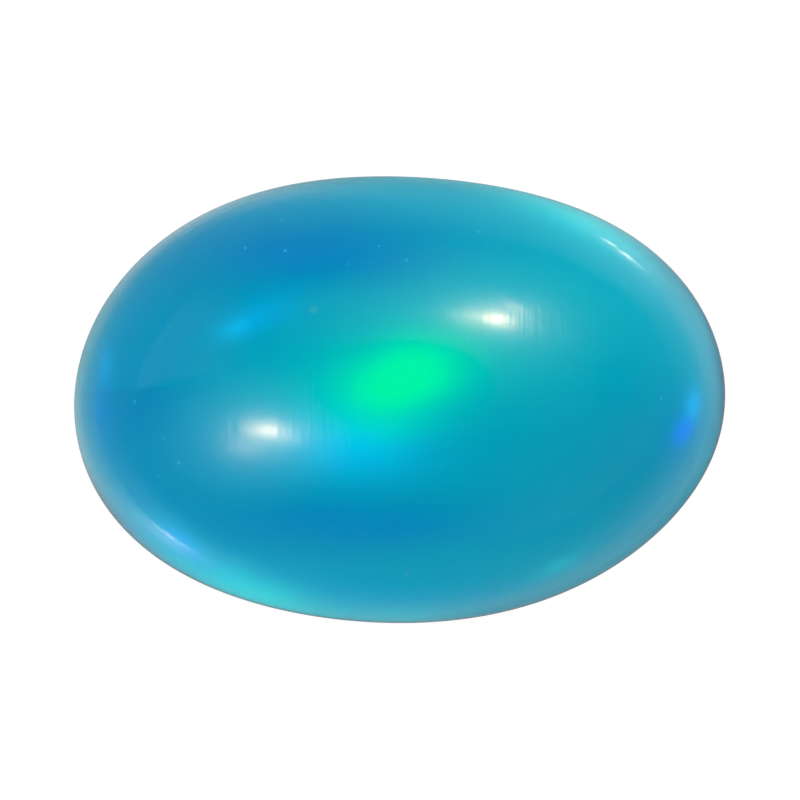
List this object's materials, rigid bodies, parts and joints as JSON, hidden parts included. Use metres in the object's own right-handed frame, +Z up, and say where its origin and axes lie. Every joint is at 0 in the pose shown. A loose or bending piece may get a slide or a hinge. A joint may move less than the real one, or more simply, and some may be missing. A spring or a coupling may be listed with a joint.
{
  "type": "opal cabochon",
  "caption": "Polished oval opal cabochon, translucent blue and teal with a green flash, a high dome and a flat back.",
  "frame": {"origin": "middle of the flat back, under the middle of the stone's length and width", "axes": "+X along the stone, +Y across it, +Z up from the back through the top of the dome"},
  "size_m": [0.0102, 0.007, 0.0046],
  "materials": {
    "opal": "polished"
  },
  "bodies": {
    "root": {"cabochon": "opal"}
  },
  "joints": []
}
